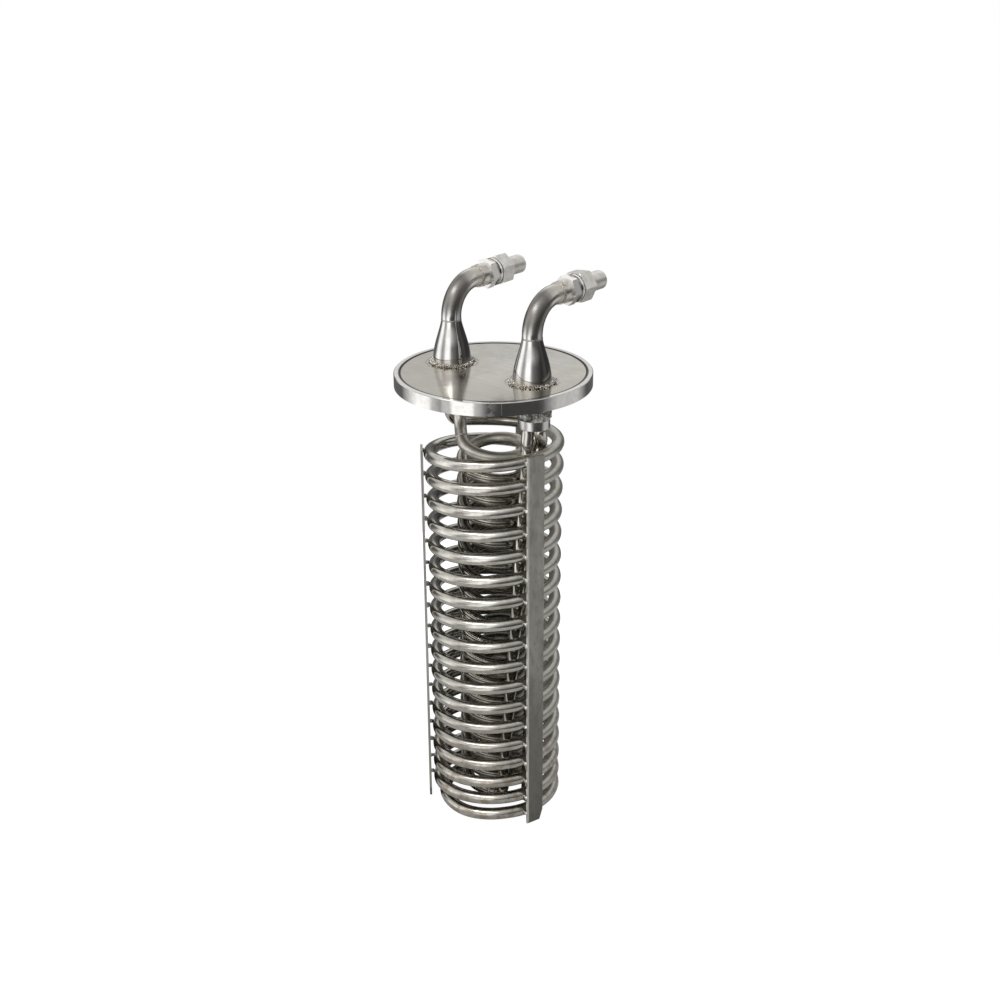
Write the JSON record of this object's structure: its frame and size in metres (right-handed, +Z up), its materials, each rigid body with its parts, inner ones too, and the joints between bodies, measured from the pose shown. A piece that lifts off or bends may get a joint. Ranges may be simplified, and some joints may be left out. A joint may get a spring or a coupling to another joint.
{
  "type": "immersion wort chiller",
  "caption": "Stainless lid with two nested tube coils hanging below it and a gooseneck with a threaded union for the inlet and for the outlet.",
  "frame": {"origin": "centre of the lid rim's underside, on the axis of the rim and both coils", "axes": "+Z up through the lid; +Y the way both unions' stubs point; +X from the inlet gooseneck to the outlet gooseneck"},
  "size_m": [0.25, 0.2566, 0.7398],
  "materials": {
    "lid_brushed": "brushed stainless plate",
    "rim_polished": "polished stainless rim",
    "weld_bead": "rough grey weld metal",
    "neck_polished": "mirror polished stainless tube",
    "union_polished": "polished turned stainless",
    "seal_white": "white flat gasket",
    "nut_matte": "matte cast stainless",
    "header_polished": "polished stainless pipe and cap",
    "coil_satin": "satin stainless tube",
    "strip_mill": "mill finish stainless flat bar"
  },
  "bodies": {
    "chiller": {"lid_plate": "lid_brushed", "lid_rim": "rim_polished", "lid_weld": "weld_bead", "inlet_reducer": "neck_polished", "inlet_foot_weld": "weld_bead", "inlet_elbow": "neck_polished", "inlet_union_body": "union_polished", "inlet_union_seal": "seal_white", "inlet_header": "header_polished", "inlet_header_weld": "weld_bead", "inlet_header_cap": "header_polished", "outlet_reducer": "neck_polished", "outlet_foot_weld": "weld_bead", "outlet_elbow": "neck_polished", "outlet_union_body": "union_polished", "outlet_union_seal": "seal_white", "outlet_header": "header_polished", "outlet_header_weld": "weld_bead", "outlet_header_cap": "header_polished", "outer_coil": "coil_satin", "inner_coil": "coil_satin", "outer_riser": "coil_satin", "inner_riser": "coil_satin", "strip_a": "strip_mill", "strip_b": "strip_mill", "strip_c": "strip_mill", "tack_welds": "weld_bead"},
    "inlet_tail": {"inlet_union_tail": "nut_matte"},
    "inlet_nut": {"inlet_union_nut": "nut_matte"},
    "outlet_tail": {"outlet_union_tail": "nut_matte"},
    "outlet_nut": {"outlet_union_nut": "nut_matte"}
  },
  "joints": [
    {"name": "inlet_tail_slide", "type": "slide", "parent": "chiller", "child": "inlet_tail", "axis": [0, 1, 0], "range_m": [0, 0.008]},
    {"name": "inlet_nut_turn", "type": "hinge", "parent": "inlet_tail", "child": "inlet_nut", "pos_m": [-0.0655, 0.09, 0.1174], "axis": [0, 1, 0], "range_deg": [0, 1441]},
    {"name": "outlet_tail_slide", "type": "slide", "parent": "chiller", "child": "outlet_tail", "axis": [0, 1, 0], "range_m": [0, 0.008]},
    {"name": "outlet_nut_turn", "type": "hinge", "parent": "outlet_tail", "child": "outlet_nut", "pos_m": [0.0655, 0.09, 0.1174], "axis": [0, 1, 0], "range_deg": [0, 1441]}
  ],
  "couplings": [
    {"joint": "inlet_nut_turn", "follows": "inlet_tail_slide", "rad_per_m": 3141.6},
    {"joint": "outlet_nut_turn", "follows": "outlet_tail_slide", "rad_per_m": 3141.6}
  ]
}
